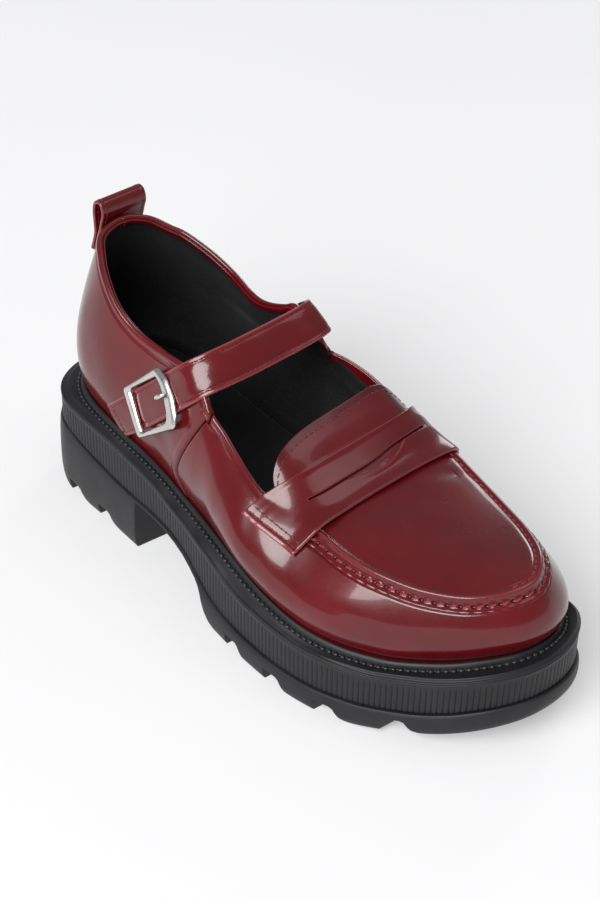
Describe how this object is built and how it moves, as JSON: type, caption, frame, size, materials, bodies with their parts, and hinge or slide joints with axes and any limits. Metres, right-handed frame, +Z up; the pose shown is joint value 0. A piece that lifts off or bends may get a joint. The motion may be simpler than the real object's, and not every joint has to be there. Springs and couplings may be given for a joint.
{
  "type": "platform penny loafer",
  "caption": "Right-foot platform loafer: hollow leather upper with apron, slotted saddle and buckled instep strap, on a ribbed lug sole with a block heel.",
  "frame": {"origin": "on the floor, under the middle of the shoe's length and width", "axes": "+X points to the toe, +Y to the inner (medial) side of the right foot, +Z up from the floor"},
  "size_m": [0.2662, 0.1066, 0.128],
  "materials": {
    "black_rubber": "satin moulded rubber with fine vertical ribs",
    "black_lining": "smooth matt lining",
    "oxblood_leather": "glossy dark red box leather",
    "nickel": "brushed pale nickel"
  },
  "bodies": {
    "root": {"outsole": "black_rubber", "midsole": "black_rubber", "welt": "black_rubber", "insole": "black_lining", "upper": "oxblood_leather", "saddle": "oxblood_leather", "instep_strap": "oxblood_leather", "pull_loop": "oxblood_leather", "buckle_frame": "nickel", "buckle_prong": "nickel"}
  },
  "joints": []
}
